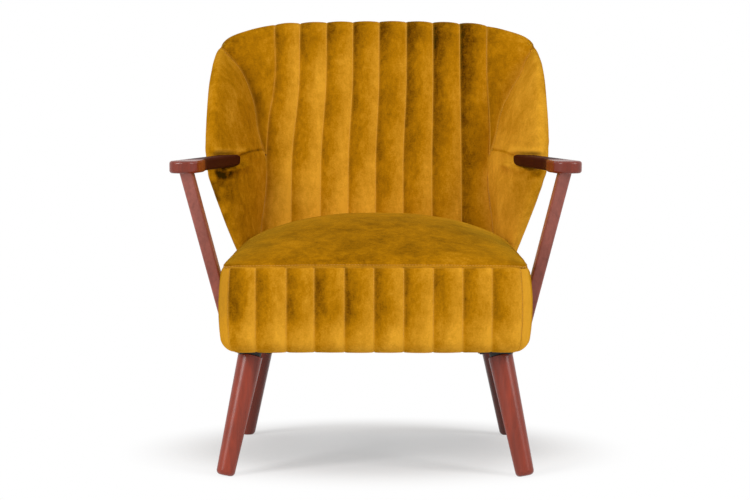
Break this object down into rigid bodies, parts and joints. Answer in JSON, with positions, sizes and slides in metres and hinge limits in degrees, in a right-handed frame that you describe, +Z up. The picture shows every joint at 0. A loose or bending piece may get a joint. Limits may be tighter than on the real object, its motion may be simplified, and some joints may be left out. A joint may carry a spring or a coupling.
{
  "type": "upholstered armchair",
  "caption": "Low upholstered armchair with a channelled winged back, a domed seat, open wooden arms on slanted posts and splayed tapered legs.",
  "frame": {"origin": "on the floor, under the middle of the chair's bounding box", "axes": "+Z up, +X to the right as seen from the front, the chair faces -Y"},
  "size_m": [0.735, 0.6855, 0.837],
  "materials": {
    "velvet": "mustard cotton velvet, brushed pile",
    "mahogany": "red-brown stain under satin lacquer",
    "frame_wood": "planed beech, unfinished",
    "plywood": "birch plywood, unfinished",
    "hardboard": "pressed board, smooth side out",
    "foam": "open-cell foam with wadding",
    "felt": "pressed felt",
    "webbing": "woven elastic strap",
    "dust_cloth": "black non-woven cloth",
    "spring_steel": "drawn wire",
    "steel": "zinc-plated"
  },
  "bodies": {
    "root": {"arm_post_bolts": "steel", "arm_post_dowels": "frame_wood", "arm_post_inserts": "steel", "arm_post_left": "mahogany", "arm_post_right": "mahogany", "arm_post_spacers": "frame_wood", "arm_tail_bolts": "steel", "arm_tail_inserts": "steel", "armrest_left": "mahogany", "armrest_right": "mahogany", "back_board": "hardboard", "back_cover_inside": "velvet", "back_cover_outside": "velvet", "back_foam": "foam", "back_frame_bolts": "steel", "back_rail_arm": "frame_wood", "back_rail_bottom": "frame_wood", "back_rail_top": "frame_wood", "back_straps": "webbing", "back_upright_left": "frame_wood", "back_upright_right": "frame_wood", "back_wadding": "foam", "dust_cover": "dust_cloth", "leg_front_left": "mahogany", "leg_front_right": "mahogany", "leg_hanger_bolts": "steel", "leg_plate_screws": "steel", "leg_plates": "steel", "leg_rear_left": "mahogany", "leg_rear_right": "mahogany", "seat_corner_blocks": "frame_wood", "seat_cover_front": "velvet", "seat_cover_left": "velvet", "seat_cover_right": "velvet", "seat_cover_top": "velvet", "seat_deck": "felt", "seat_foam": "foam", "seat_pad_front": "foam", "seat_pad_left": "foam", "seat_pad_right": "foam", "seat_rail_front": "frame_wood", "seat_rail_left": "frame_wood", "seat_rail_rear": "frame_wood", "seat_rail_right": "frame_wood", "seat_spring_clips": "steel", "seat_springs": "spring_steel", "wing_board_left": "plywood", "wing_board_right": "plywood", "wing_cover_left": "velvet", "wing_cover_right": "velvet", "wing_foam_left": "foam", "wing_foam_right": "foam"}
  },
  "joints": []
}
